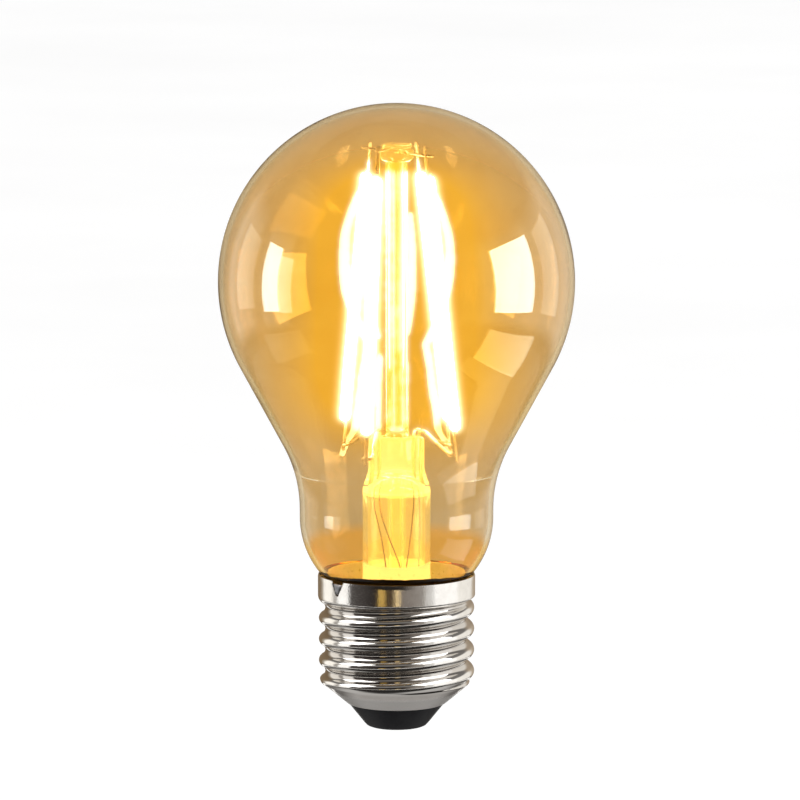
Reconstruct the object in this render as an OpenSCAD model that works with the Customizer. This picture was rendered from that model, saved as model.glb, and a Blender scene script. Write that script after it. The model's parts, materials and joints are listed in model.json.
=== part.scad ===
// Wireless filament lamp with an E27 screw cap: an amber glass envelope over a glass stem,
// four leaning LED filaments in two series pairs, and a dimming driver inside the cap.
// +Z runs from the centre contact to the crown of the glass. The origin is the tip of the contact.

/* [Glass envelope] */
// Largest diameter of the globe
globe_d = 60.2; // [60:0.1:60.6]
// Overall length from contact tip to crown
overall_length = 106.2; // [105.8:0.1:106.6]
// Outer diameter of the straight neck
neck_d = 32.8; // [32.6:0.1:33]
// Wall thickness of the envelope
glass_wall = 0.8; // [0.7:0.05:0.85]

/* [Screw cap] */
// Height of the shell's rim above the contact tip
cap_height = 26.3; // [26.2:0.1:26.5]
// Outer diameter of the plain collar
collar_d = 26.7; // [26.6:0.1:26.8]
// Crest diameter of the Edison thread
thread_d = 26.4; // [26.3:0.05:26.5]
// Axial distance from crest to crest
thread_pitch = 3.629; // [3.6:0.001:3.65]
// Wall thickness of the rolled shell
shell_wall = 0.3; // [0.25:0.05:0.3]
// Radius of the centre contact
contact_r = 3.4; // [3:0.1:3.4]

/* [Filaments] */
// Distance from the axis of a filament at its upper weld
weld_r_top = 6.35; // [6.2:0.05:6.5]
// Distance from the axis of a filament at its lower weld
weld_r_bottom = 11.9; // [11.6:0.1:12]
// Width of the phosphor coating
coat_w = 2.1; // [1.9:0.1:2.3]
// Depth of the phosphor coating
coat_t = 1.6; // [1.5:0.1:1.8]
// Light-emitting chips on one filament
chip_count = 24; // [12:1:24]

/* [Glass stem] */
// Outer radius of the hollow stem
stem_r = 5.75; // [5.7:0.05:5.9]
// Wall thickness of the stem
stem_wall = 0.9; // [0.8:0.05:1]
// Width of the flattened press
press_w = 9.4; // [9.2:0.1:9.6]
// Thickness of the press
press_t = 3.4; // [3.2:0.1:3.6]
// Outer radius of the upper support tube
column_r = 1.85; // [1.8:0.05:1.9]

/* [Driver] */
// Radius of the round circuit board
board_r = 10.4; // [10.2:0.1:10.4]
// Height of the board's top face
board_top = 10; // [9.9:0.1:10.1]

/* [Hidden] */

GAP = 0.05;          // clearance between neighbouring pieces
ARC_STEPS = 12;      // segments in a short arc
GLOBE_STEPS = 48;    // segments in the globe's arc

// Envelope outline
globe_r = globe_d / 2;
globe_z = overall_length - globe_r;
flank = 28.5;                     // slope of the straight flank, from the axis
neck_r = neck_d / 2;
blend_r = 23;                     // hollow blend from flank to neck
shoulder_r = 15;                  // rounded foot of the neck
shoulder_z = cap_height + 9.8;
seat_r = collar_d / 2 - 0.9;      // neck inside the collar
seal_r = thread_d / 2 - 2.2;      // neck end inside the thread
seal_z = cap_height - 6.7;
seal_start_z = cap_height - 3.4;
taper_z = cap_height - 4.8;
flank_end_r = neck_r + blend_r * (1 - cos(flank));
flank_end_z = globe_z - globe_r * sin(flank) - (globe_r * cos(flank) - flank_end_r) / tan(flank);
blend_z = flank_end_z - blend_r * sin(flank);
seat_angle = acos((seat_r - neck_r + shoulder_r) / shoulder_r);

// Screw shell
shell_foot_z = 4.15;
shell_foot_r = 8.35;
cone_rise = 1.19;                 // radius gained by the lower cone per unit of height
crest_r = 1.025;                  // rounding of the thread's crests and roots
quarter = thread_pitch / 4;
arc_drop = sqrt(crest_r * crest_r - quarter * quarter);
thread_mean_r = thread_d / 2 - (crest_r - arc_drop);
crest_z = cap_height - 5.75;      // crest height at angle 0
collar_z = cap_height - 4.1;
SHELL_SIDES = 40;
RINGS_PER_PITCH = 8;
thread_z0 = 7;
thread_z1 = collar_z + 0.9;
notch_angle = 221.4;
notch_w = 2.9;
notch_depth = 2.4;

// Stem
flare_r = 10.05;
flare_z = 26.5;
press_z0 = 45;
press_z1 = 50;
tube_end_z = 40.6;
seal_x = [-3.8, -2.9, 3.8, 2.9];  // place of each sealed wire across the press
seal_wire_r = 0.25;
seal_wire_z = 40.9;
column_z0 = press_z1 - 2;
column_z1 = 96.4;
exhaust_r = 1.6;
exhaust_z0 = 16.8;
exhaust_z1 = 43.8;

// Filaments
weld_z_top = 98.6;
weld_z_bottom = 46.6;
top_angle = [138, 240, 322, 56];      // where each filament hangs, seen from above
bottom_angle = [142, 244, 331, 38];   // where its foot is held
coat_z0 = 51.8;
coat_l = 42.6;
core_w = 1.1;
core_t = 0.4;
core_over = 0.7;                  // bare substrate beyond the coating, each end
chip_size = [0.28, 0.6, 1.1];
pin_w = 0.8;
pin_t = 0.2;
pin_l = 5.2;
wire_r = 0.2;                     // link wires
lead_r = 0.3;                     // lead supports
link_z = [97.9, 98.55];           // height of each link wire in the button
link_angle = [320, 58];
link_reach = 1.3;                 // free end beyond the pin
link_ends = [[3, 97.6, 1, 98.4], [4, 98.6, 2, 98.6]];  // filament and height at each end

// Driver
board_t = 1;
board_foot = board_top - board_t;
tail_r = 0.25;
resistor_y = -2.6;
resistor_z = 7.1;
resistor_foot = [4.6, resistor_y, board_foot + 0.1];
neutral_foot = spun([9.3, 0, board_foot + 0.1], notch_angle);

function arc(cx, cz, r, a0, a1, n) =
    [for (i = [0:n]) let (a = a0 + (a1 - a0) * i / n) [cx + r * cos(a), cz + r * sin(a)]];
function reversed(list) = [for (i = [len(list) - 1:-1:0]) list[i]];
function ease(x) = let (t = min(1, max(0, x))) t * t * (3 - 2 * t);
function spun(p, a) = [p[0] * cos(a) - p[1] * sin(a), p[0] * sin(a) + p[1] * cos(a), p[2]];
function unit(v) = v / norm(v);

// A filament's axis runs straight from its lower weld to its upper one, and its flat side faces outwards.
function lower_weld(i) = spun([weld_r_bottom, 0, weld_z_bottom], bottom_angle[i - 1]);
function upper_weld(i) = spun([weld_r_top, 0, weld_z_top], top_angle[i - 1]);
function slope(i) = unit(upper_weld(i) - lower_weld(i));
function on_axis(i, z) = lower_weld(i) + slope(i) * (z - weld_z_bottom) / slope(i)[2];
function facing(i) = let (m = upper_weld(i) + lower_weld(i)) atan2(m[1], m[0]);
function outwards(i) = [cos(facing(i)), sin(facing(i)), 0];
function sideways(i) = [-sin(facing(i)), cos(facing(i)), 0];

// One pass of corner cutting: it keeps the two ends and rounds every bend between them.
function cut_corners(p) = concat([p[0]],
    [for (i = [0:len(p) - 2]) each [p[i] * 0.75 + p[i + 1] * 0.25, p[i] * 0.25 + p[i + 1] * 0.75]],
    [p[len(p) - 1]]);
function rounded_path(p, n = 2) = n == 0 ? p : rounded_path(cut_corners(p), n - 1);

// A round wire along a path. The reference direction is never parallel to the path.
module wire(path, r, reference = [0.31, 0.9, 0.17], sides = 8) {
    last = len(path) - 1;
    rings = [for (i = [0:last]) let (
        t = unit(path[min(i + 1, last)] - path[max(i - 1, 0)]),
        u = unit(cross(t, reference)),
        v = cross(t, u))
        each [for (k = [0:sides - 1]) let (a = 360 * k / sides) path[i] + r * (cos(a) * u + sin(a) * v)]];
    walls = [for (i = [0:last - 1], k = [0:sides - 1]) let (
        n = (k + 1) % sides, a = i * sides + k, b = i * sides + n, c = a + sides, d = b + sides)
        each [[a, c, d], [a, d, b]]];
    polyhedron(rings, concat(walls,
        [[for (k = [0:sides - 1]) k]],
        [[for (k = [sides - 1:-1:0]) last * sides + k]]), convexity = 6);
}

// A flat bar with half-round edges, standing on the XY plane.
module stadium(w, t) {
    square([w - t, t], center = true);
    for (s = [-1, 1]) translate([s * (w - t) / 2, 0]) circle(d = t, $fn = 48);
}

module turned(outline) { rotate_extrude($fn = 120) polygon(outline); }

// Puts its children on filament i, +Z along the filament from the foot of its coating.
module on_filament(i) {
    d = slope(i);
    heading = atan2(d[1], d[0]);
    translate(on_axis(i, coat_z0))
        rotate([0, acos(d[2]), heading]) rotate([0, 0, facing(i) - heading]) children();
}

// ---- Glass ----

function envelope_face(t) = concat(
    arc(0, globe_z, globe_r - t, 90, -flank, GLOBE_STEPS),
    arc(neck_r + blend_r, blend_z, blend_r + t, 180 - flank, 180, ARC_STEPS),
    arc(neck_r - shoulder_r, shoulder_z, shoulder_r - t, 0, -seat_angle, ARC_STEPS));

module glass_envelope() {
    outside = concat(envelope_face(0),
        [[seat_r, seal_start_z], [seal_r + 0.15, taper_z], [seal_r, seal_z]]);
    inside = concat(envelope_face(glass_wall),
        [[seat_r - glass_wall, seal_start_z - 0.3], [seal_r + 0.15 - glass_wall, taper_z - 0.3],
         [seal_r - glass_wall, seal_z]]);
    color("goldenrod", 0.35) turned(concat(outside, reversed(inside)));
}

module stem_flare() {
    bell = [for (a = [0:9:90]) [stem_r + (flare_r - stem_r) * (1 - cos(a)), flare_z - (flare_z - seal_z) * sin(a)]];
    bell_inside = [for (a = [0:9:90]) [stem_r - stem_wall + (flare_r - stem_r) * (1 - cos(a)),
        flare_z - stem_wall * 0.9 - (flare_z - seal_z) * sin(a)]];
    turned(concat([[stem_r, tube_end_z]], bell, [[seal_r, seal_z], [seal_r, seal_z - 0.81]],
        reversed(bell_inside), [[stem_r - stem_wall, tube_end_z]]));
}

module glass_stem() {
    color("lightyellow", 0.4) difference() {
        union() {
            stem_flare();
            hull() {
                translate([0, 0, tube_end_z]) cylinder(r = stem_r, h = 0.1, $fn = 48);
                translate([0, 0, press_z0 - 0.1]) linear_extrude(0.1) stadium(press_w, press_t);
            }
            translate([0, 0, press_z0]) linear_extrude(press_z1 - press_z0) stadium(press_w, press_t);
        }
        translate([0, 0, tube_end_z - 0.5])
            cylinder(r1 = stem_r - stem_wall, r2 = 2.4, h = 3, $fn = 64);
        translate([0, 0, tube_end_z]) cylinder(r = exhaust_r + GAP, h = exhaust_z1 - tube_end_z + GAP, $fn = 48);
        translate([0, 0, column_z0 - GAP]) cylinder(r = column_r + GAP, h = 4, $fn = 48);
        for (x = seal_x) translate([x, 0, tube_end_z])
            cylinder(r = seal_wire_r + 0.02, h = press_z1, $fn = 24);
    }
}

module exhaust_tube() {
    bore = 0.85;
    color("lightyellow", 0.4) turned([[0, exhaust_z0], [0.7, exhaust_z0 + 0.2], [1.2, exhaust_z0 + 0.9],
        [exhaust_r, exhaust_z0 + 2.2], [exhaust_r, exhaust_z1], [bore, exhaust_z1],
        [bore, exhaust_z0 + 3], [0.4, exhaust_z0 + 1.8], [0, exhaust_z0 + 1.4]]);
}

module support_column() {
    color("lightyellow", 0.4) difference() {
        translate([0, 0, column_z0]) cylinder(r = column_r, h = column_z1 - column_z0, $fn = 48);
        translate([0, 0, column_z0 + 2.6]) cylinder(r = column_r - 0.7, h = column_z1, $fn = 48);
    }
}

module column_button() {
    z = column_z1;
    color("lightyellow", 0.4) difference() {
        turned([[0, z], [2.2, z], [2.75, z + 0.5], [2.95, z + 1.1], [2.85, z + 1.9], [2.35, z + 2.4],
            [2.6, z + 2.7], [2.35, z + 3], [0, z + 3.1]]);
        for (k = [0, 1]) rotate([0, 0, link_angle[k]]) translate([-4, 0, link_z[k]])
            rotate([0, 90, 0]) cylinder(r = wire_r + 0.02, h = 8, $fn = 24);
    }
}

// ---- Filament assembly ----

// A link wire leaves the button straight, then runs along one edge of the pin and just past it.
function link_half(k, i, z) = let (
    way = [cos(link_angle[k]), sin(link_angle[k]), 0] * (i > 2 ? 1 : -1),
    exit = [0, 0, link_z[k]],
    pin = on_axis(i, z) - outwards(i) * (core_t + pin_t) / 2,
    beside = pin + sideways(i) * (pin_w / 2 + wire_r + GAP))
    [exit + way * 2.9, exit + way * 3.3, beside - outwards(i) * 0.8, beside + outwards(i) * link_reach];

module link_wire(k) {
    e = link_ends[k];
    color("silver") wire(rounded_path(concat(reversed(link_half(k, e[2], e[3])), link_half(k, e[0], e[1]))),
        wire_r, [0.05, 0.1, 0.99]);
}

module filament_coating(i) {
    cap = 0.9;
    color("khaki") on_filament(i) difference() {
        union() {
            translate([0, 0, cap]) linear_extrude(coat_l - 2 * cap)
                rotate(90) stadium(coat_w, coat_t);
            for (end = [0, 1]) translate([0, 0, end * (coat_l - cap)]) linear_extrude(cap)
                rotate(90) stadium(coat_w - 0.4, coat_t - 0.3);
        }
        translate([-core_t / 2 - GAP, -core_w / 2 - GAP, -1])
            cube([core_t + 2 * GAP, core_w + 2 * GAP, coat_l + 2]);
        translate([core_t / 2, -chip_size[1] / 2 - GAP, 1.2])
            cube([chip_size[0] + GAP, chip_size[1] + 2 * GAP, coat_l - 2.4]);
    }
}

module filament_substrate(i) {
    color("white") on_filament(i)
        translate([-core_t / 2, -core_w / 2, -core_over]) cube([core_t, core_w, coat_l + 2 * core_over]);
}

module filament_chips(i) {
    run = coat_l - 3;
    step = run / chip_count;
    color("gold") on_filament(i) for (k = [0:chip_count - 1])
        translate([core_t / 2, -chip_size[1] / 2, 1.5 + step * (k + 0.5) - chip_size[2] / 2])
            cube(chip_size);
}

// A flat nickel pin that lies on the end of the substrate and runs on to its weld.
module filament_pin(i, top) {
    z = top ? coat_l + 0.1 : -0.1 - pin_l;
    color("silver") on_filament(i) translate([-core_t / 2 - pin_t, -pin_w / 2, z]) cube([pin_t, pin_w, pin_l]);
}

// A stiff lead rises out of the press, slopes to its filament and hooks across the inner face of the pin.
module lead_support(i) {
    z = weld_z_bottom + 1;
    hook = on_axis(i, z) - outwards(i) * (core_t / 2 + pin_t + lead_r + 0.08);
    turn = sideways(i) * (i % 2 == 0 ? -1 : 1);
    start = [seal_x[i - 1], 0, press_z1 + 0.01];
    path = rounded_path([start, start + [0, 0, 0.9],
        start * 0.86 + hook * 0.14 + [0, 0, 1.5],
        start * 0.45 + hook * 0.55 + [0, 0, 0.4],
        hook - outwards(i) * 0.25 - turn * 0.9 + [0, 0, 0.1],
        hook + turn * 0.2,
        hook + turn * 1.1 - [0, 0, 0.1]]);
    color("silver") wire(path, lead_r, unit(sideways(i) + [0, 0, 0.11]));
}

module press_seal_wires() {
    color("firebrick") for (x = seal_x) translate([x, 0, seal_wire_z])
        cylinder(r = seal_wire_r, h = press_z1 - seal_wire_z, $fn = 24);
}

// Copper tails run down the inside of the stem, round the exhaust tube, to pads on the board.
tail_paths = [
    [[-3.8, 0, 40.88], [-3.8, 0, 40.3], [-3.7, -0.5, 38.8], [-3.2, -2.1, 36.5], [-2.4, -3.2, 33],
     [-1.5, -3.7, 27], [-1.9, -3.8, 22], [-5.5, -3, 17], [-8.6, -2.2, 13], [-8.6, -2.2, 9.1]],
    [[-2.9, 0, 40.88], [-2.9, 0, 40.3], [-2.8, -0.9, 39], [-2.5, -2.7, 37], [-1.2, -3.4, 33],
     [1.1, -3.7, 27], [0.9, -3.9, 22], [-2.5, -3.7, 16.5], [-5.6, -3.7, 13], [-5.6, -3.7, 9.1]],
    [[3.8, 0, 40.88], [3.8, 0, 39.5], [3.9, 0.3, 37], [3.9, 0.5, 32], [3.8, 0.2, 26],
     [4.1, -0.8, 21], [6.8, -2.4, 15.5], [8.2, -2.6, 13], [8.2, -2.6, 9.1]],
    [[2.9, 0, 40.88], [2.9, 0, 40.3], [2.9, 0.6, 38.5], [2.6, 2.6, 34], [1.8, 3.4, 27],
     [1, 3.9, 22], [0.1, 6, 16.5], [0, 7.4, 13], [0, 7.4, 9.1]]];

module lead_tail(i) { color("peru") wire(rounded_path(tail_paths[i - 1]), tail_r, [0.81, 0.57, 0.1]); }

// ---- Cap ----

// Radius of the Edison profile, arcs of equal radius at crest and root, wound as a right-hand helix.
function thread_r(z, a) = let (
    turns = (z - crest_z) / thread_pitch - a / 360,
    u = abs(turns - round(turns)) * thread_pitch)
    u <= quarter ? thread_mean_r + sqrt(crest_r * crest_r - u * u) - arc_drop
        : thread_mean_r - sqrt(crest_r * crest_r - pow(2 * quarter - u, 2)) + arc_drop;
function shell_r(z, a) = let (
    foot = min(shell_foot_r + (z - shell_foot_z) * cone_rise, thread_mean_r),
    in_thread = ease((z - thread_z0) / 1.8),
    in_collar = ease((z - collar_z + 0.45) / 1))
    (foot * (1 - in_thread) + thread_r(z, a) * in_thread) * (1 - in_collar) + collar_d / 2 * in_collar;

module threaded_wall() {
    n = SHELL_SIDES;
    steps = ceil((thread_z1 - thread_z0) / thread_pitch * RINGS_PER_PITCH);
    heights = concat([shell_foot_z, 5.4],
        [for (k = [0:steps]) thread_z0 + (thread_z1 - thread_z0) * k / steps], [cap_height]);
    m = len(heights);
    face = function(t) [for (z = heights, j = [0:n - 1]) let (a = 360 * j / n, r = shell_r(z, a) - t)
        [r * cos(a), r * sin(a), z]];
    outer = [for (i = [0:m - 2], j = [0:n - 1]) let (
        k = (j + 1) % n, a = i * n + j, b = i * n + k, c = a + n, d = b + n)
        each [[a, c, d], [a, d, b]]];
    inner = [for (f = outer) [f[2] + m * n, f[1] + m * n, f[0] + m * n]];
    rim = (m - 1) * n;
    ends = [for (j = [0:n - 1]) let (k = (j + 1) % n) each [
        [rim + j, m * n + rim + j, m * n + rim + k, rim + k],
        [j, k, m * n + k, m * n + j]]];
    polyhedron(concat(face(0), face(shell_wall)), concat(outer, inner, ends), convexity = 12);
}

// The wedge-shaped gap in the rim where the return wire is soldered, pointing outwards along +X.
module notch_wedge(inset) {
    rotate([0, 0, notch_angle]) translate([0, 0, cap_height]) rotate([90, 0, 90]) linear_extrude(20)
        polygon([[-notch_w / 2 + inset, 0.2 - inset], [notch_w / 2 - inset, 0.2 - inset],
            [0.28, inset - notch_depth], [-0.28, inset - notch_depth]]);
}

module screw_shell() {
    color("lightgray") difference() {
        threaded_wall();
        notch_wedge(0);
    }
}

module ring(r0, r1, z0, z1) { turned([[r0, z0], [r1, z0], [r1, z1], [r0, z1]]); }

module side_solder() {
    color("darkgray") intersection() {
        ring(collar_d / 2 - shell_wall + 0.02, collar_d / 2 + 0.06, cap_height - notch_depth, cap_height - 0.3);
        notch_wedge(0.06);
    }
}

module capping_cement() {
    color("wheat") difference() {
        ring(seat_r + 0.01, collar_d / 2 - shell_wall - GAP, seal_start_z + 0.1, cap_height - 0.5);
        notch_wedge(-0.2);
        rotate([0, 0, notch_angle]) translate([10, -0.3, seal_start_z]) cube([4, 0.6, 2]);
    }
}

module cap_insulator() {
    color("black") turned([[1.25, 0.65], [contact_r + GAP, 0.65], [contact_r + GAP, 0.1], [4.1, 0.1],
        [4.5, 0.12], [5.1, 0.34], [5.55, 0.85], [shell_foot_r - 0.2, shell_foot_z - 0.05],
        [shell_foot_r - 0.35, shell_foot_z], [shell_foot_r + 0.55, 5], [1.25, 5]]);
}

module centre_contact() {
    color("silver") turned([[0, 0], [2.7, 0], [contact_r - 0.2, 0.1], [contact_r, 0.35], [contact_r, 0.6],
        [1.2, 0.6], [1.2, 5.02], [1.9, 5.05], [1.7, 5.35], [0, 5.4]]);
}

module insulation_sleeve() { color("ivory") ring(board_r + 0.2, board_r + 0.5, board_foot - 0.6, 18.3); }

// ---- Driver ----

module block(size, at) { translate(at) translate([-size[0] / 2, -size[1] / 2, 0]) cube(size); }

module driver_board() {
    color("seagreen") difference() {
        translate([0, 0, board_foot]) cylinder(r = board_r, h = board_t, $fn = 96);
        for (p = concat([for (t = tail_paths) t[len(t) - 1]], [resistor_foot, neutral_foot]))
            translate([p[0], p[1], board_foot - 1]) cylinder(r = 0.4, h = 3, $fn = 24);
    }
}

module bridge_rectifier() { color("dimgray") block([6, 4.4, 1.7], [0, 5.2, board_foot - 1.71]); }
module driver_chip() { color("dimgray") block([4.9, 3.9, 1.5], [0, -6.7, board_foot - 1.51]); }

module surface_mount_parts() {
    spots = [[-7, 1.5], [-7, 3.5], [7, 1.5], [7, 3.5], [7.4, -3.2], [5.6, -6], [-4.6, -7.6]];
    color("tan") for (p = spots) block([1.6, 0.8, 0.6], [p[0], p[1], board_foot - 0.61]);
}

capacitor_at = [5.6, 2.6];
capacitor_r = 3;
module smoothing_capacitor() {
    color("silver") translate([capacitor_at[0], capacitor_at[1], board_top + 0.01])
        turned([[0, 0], [capacitor_r - 0.2, 0], [capacitor_r, 0.2], [capacitor_r, 6.3], [capacitor_r - 0.3, 6.6], [0, 6.6]]);
}
module capacitor_sleeve() {
    color("midnightblue") translate([capacitor_at[0], capacitor_at[1], board_top])
        ring(capacitor_r + 0.02, capacitor_r + 0.15, 0.3, 6.3);
}

inductor_at = [-5.4, 3.6];
module inductor_core() {
    color("dimgray") translate([inductor_at[0], inductor_at[1], board_top + 0.01])
        turned([[0, 0], [3, 0], [3, 0.9], [1.3, 0.9], [1.3, 4.9], [3, 4.9], [3, 5.8], [0, 5.8]]);
}
module inductor_winding() {
    color("chocolate") translate([inductor_at[0], inductor_at[1], board_top]) ring(1.33, 2.7, 0.95, 4.87);
}

wireless_y = -6.2;
module wireless_board() { color("teal") block([12, 0.8, 7], [0, wireless_y, board_top + 0.6]); }
module wireless_shield() { color("silver") block([8, 1.1, 5], [0, wireless_y - 0.96, board_top + 1.2]); }
module wireless_chip() { color("dimgray") block([3, 0.8, 3], [-1.6, wireless_y + 0.81, board_top + 2.4]); }
module board_pins() {
    color("gold") for (k = [-2:2]) block([0.5, 0.5, 0.58], [k * 2, wireless_y, board_top + 0.01]);
}

module along_x(r, x0, x1) { translate([x0, resistor_y, resistor_z]) rotate([0, 90, 0]) cylinder(r = r, h = x1 - x0, $fn = 48); }
module fusible_resistor() { color("olivedrab") along_x(1.15, -2.75, 2.75); }
module resistor_sleeve() {
    color("gray") difference() {
        along_x(1.45, -3.2, 3.2);
        along_x(1.2, -3.4, 3.4);
    }
}
module resistor_lead() {
    color("silver") wire(rounded_path([[2.77, resistor_y, resistor_z], [4.3, resistor_y, resistor_z],
        [4.6, resistor_y, resistor_z + 0.4], resistor_foot - [0, 0, 0.6], resistor_foot]), 0.3);
}
module live_wire() {
    color("red") wire(rounded_path([[0, 0, 5.42], [0, 0, 6], [-0.3, 0.3, 6.6], [-1.8, 0.4, 7.2], [-4, 0.1, 7.5],
        [-4.9, -1.4, 7.3], [-4.2, resistor_y, resistor_z], [-2.77, resistor_y, resistor_z]]), 0.35, [0.1, 0.2, 0.97]);
}
// The return wire leaves the solder in the rim notch, passes between neck and shell, and turns under the sleeve.
module neutral_wire() {
    path = [for (p = [[12.78, 23.8], [12.78, 22.95], [12.54, 22.5], [12.12, 22.05], [11.6, 21.62], [11.42, 21.2],
        [11.38, 20.6], [11.27, 19.8], [11.27, 12], [11.27, 8.6], [11, 7.9], [9.6, 7.9], [9.3, 8.3]])
        spun([p[0], 0, p[1]], notch_angle)];
    color("dodgerblue") wire(rounded_path(concat(path, [neutral_foot]), 1), 0.15, spun([0, 1, 0.02], notch_angle));
}

glass_envelope();
glass_stem();
exhaust_tube();
support_column();
column_button();
link_wire(0);  // link_wire_a
link_wire(1);  // link_wire_b
for (i = [1:4]) {
    filament_coating(i);
    filament_substrate(i);
    filament_chips(i);
    filament_pin(i, true);
    filament_pin(i, false);
    lead_support(i);
    lead_tail(i);
}
press_seal_wires();
screw_shell();
side_solder();
capping_cement();
cap_insulator();
centre_contact();
insulation_sleeve();
driver_board();
bridge_rectifier();
driver_chip();
surface_mount_parts();
smoothing_capacitor();
capacitor_sleeve();
inductor_core();
inductor_winding();
wireless_board();
wireless_shield();
wireless_chip();
board_pins();
fusible_resistor();
resistor_sleeve();
resistor_lead();
live_wire();
neutral_wire();
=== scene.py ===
import json
import math

import bmesh
import bpy
import numpy as np
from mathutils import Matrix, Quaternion, Vector


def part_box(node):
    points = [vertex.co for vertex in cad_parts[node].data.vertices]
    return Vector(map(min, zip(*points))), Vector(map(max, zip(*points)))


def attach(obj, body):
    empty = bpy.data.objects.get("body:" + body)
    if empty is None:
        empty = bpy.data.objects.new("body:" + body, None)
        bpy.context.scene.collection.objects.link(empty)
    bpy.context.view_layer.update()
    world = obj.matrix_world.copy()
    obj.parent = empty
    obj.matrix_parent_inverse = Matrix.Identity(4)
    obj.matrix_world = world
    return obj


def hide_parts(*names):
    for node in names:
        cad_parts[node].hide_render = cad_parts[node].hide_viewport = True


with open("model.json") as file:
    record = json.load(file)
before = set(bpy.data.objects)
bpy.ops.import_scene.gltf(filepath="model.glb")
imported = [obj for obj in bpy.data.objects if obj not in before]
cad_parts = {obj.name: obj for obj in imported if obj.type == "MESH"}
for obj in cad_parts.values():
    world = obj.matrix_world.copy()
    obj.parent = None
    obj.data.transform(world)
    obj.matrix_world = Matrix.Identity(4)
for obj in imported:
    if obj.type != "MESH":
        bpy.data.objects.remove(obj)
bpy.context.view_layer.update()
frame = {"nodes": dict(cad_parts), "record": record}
scene = bpy.context.scene
MM = 0.001
slots = {part["node"]: part["material_slot"] for part in frame["record"]["subparts"]}


def new_node(tree, kind, inputs=(), **settings):
    """A node in this tree. An input given as a socket is linked, and any other is a value."""
    node = tree.nodes.new(kind)
    for name, value in settings.items():
        setattr(node, name, value)
    for key, value in dict(inputs).items():
        if isinstance(value, bpy.types.NodeSocket):
            tree.links.new(value, node.inputs[key])
        else:
            node.inputs[key].default_value = value
    return node


# ---- Finishes: every pattern is worked out from the object's own coordinates, in millimetres ----

class Finish:
    """A node material under construction."""

    def __init__(self, name, **values):
        self.name = name
        self.material = bpy.data.materials.new(name)
        self.material.use_nodes = True
        self.tree = self.material.node_tree
        self.shader = self.tree.nodes["Principled BSDF"]
        for socket, value in values.items():
            self.shader.inputs[socket.replace("_", " ")].default_value = value
        place = self.add("TexCoord").outputs["Object"]
        self.place = self.add("VectorMath", {0: place, "Scale": 1 / MM}, operation="SCALE").outputs[0]
        self.x, self.y, self.z = self.add("SeparateXYZ", {0: self.place}).outputs
        flat = self.add("CombineXYZ", {0: self.x, 1: self.y})
        self.radius = self.add("VectorMath", {0: flat.outputs[0]}, operation="LENGTH").outputs["Value"]

    def add(self, kind, inputs=(), **settings):
        return new_node(self.tree, "ShaderNode" + kind, inputs, **settings)

    def noise(self, per_mm, detail=3.0):
        return self.add("TexNoise", {"Vector": self.place, "Scale": per_mm, "Detail": detail}).outputs[0]

    def math(self, operation, a, b):
        return self.add("Math", {0: a, 1: b}, operation=operation).outputs[0]

    def plus(self, a, b):
        return self.math("ADD", a, b)

    def times(self, a, b):
        return self.math("MULTIPLY", a, b)

    def level(self, value, low, high, start=0.3, end=0.7):
        """value from start to end becomes low to high."""
        return self.add("MapRange", {0: value, 1: start, 2: end, 3: low, 4: high}).outputs[0]

    def ramp(self, value, *stops):
        node = self.add("ValToRGB", {0: value})
        ends = node.color_ramp.elements
        ends[0].position, ends[0].color = stops[0][0], (*stops[0][1], 1)
        ends[1].position, ends[1].color = stops[-1][0], (*stops[-1][1], 1)
        for at, colour in stops[1:-1]:
            node.color_ramp.elements.new(at).color = (*colour, 1)
        return node.outputs[0]

    def mixed(self, share, a, b):
        """Number a where share is 0, and b where it is 1."""
        return self.add("Mix", {0: share, 2: a, 3: b}).outputs[0]

    def blend(self, share, a, b):
        """Colour a where share is 0, and b where it is 1."""
        a, b = (c if isinstance(c, bpy.types.NodeSocket) else (*c, 1) for c in (a, b))
        return self.add("Mix", {0: share, 6: a, 7: b}, data_type="RGBA").outputs[2]

    def colour(self, output):
        self.tree.links.new(output, self.shader.inputs["Base Color"])

    def rough(self, output):
        self.tree.links.new(output, self.shader.inputs["Roughness"])

    def relief(self, height, depth_mm):
        bump = self.add("Bump", {"Height": height, "Strength": 1.0, "Distance": depth_mm * MM})
        self.tree.links.new(bump.outputs[0], self.shader.inputs["Normal"])

    def glow(self, light, strength):
        self.shader.inputs["Emission Color"].default_value = (*light, 1)
        self.shader.inputs["Emission Strength"].default_value = strength

    def surface(self, output):
        """Shows this shader instead of the usual one."""
        self.tree.links.new(output, self.tree.nodes["Material Output"].inputs[0])


def plain(name, dark, light, per_mm, rough, depth_mm, **values):
    """A finish whose colour, gloss and relief all drift with a noise of per_mm features to the millimetre."""
    f = Finish(name, **values)
    fine, broad = f.noise(per_mm), f.noise(per_mm / 7)
    f.colour(f.ramp(f.plus(f.times(fine, 0.4), f.times(broad, 0.6)), (0.35, dark), (0.65, light)))
    f.rough(f.level(broad, *rough))
    f.relief(fine, depth_mm)
    return f


def metal(name, dark, light, rough, per_mm=3.0, depth_mm=0.006):
    return plain(name, dark, light, per_mm, rough, depth_mm, Metallic=1.0)


def smooth_glass(name, tint, ior=1.5):
    """Glass that the lamps' light passes straight through, tinted."""
    f = Finish(name, Roughness=0.0, IOR=ior, Transmission_Weight=1.0)
    clear = f.add("BsdfTransparent", {0: (*tint, 1)})
    shadow = f.add("LightPath").outputs["Is Shadow Ray"]
    f.surface(f.add("MixShader", {0: shadow, 1: f.shader.outputs[0], 2: clear.outputs[0]}).outputs[0])
    return f


def painted_glow_glass(name, tint, deeper, glow):
    """Smooth glass with a faint drift in its tint, and a weak painted glow of its own that stands in for the
    filaments' light scattered in it.
    """
    f = smooth_glass(name, tint)
    f.colour(f.ramp(f.noise(0.12, 2.0), (0.3, deeper), (0.7, tint)))
    f.glow((1.0, 0.82, 0.30), glow)
    return f


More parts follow.
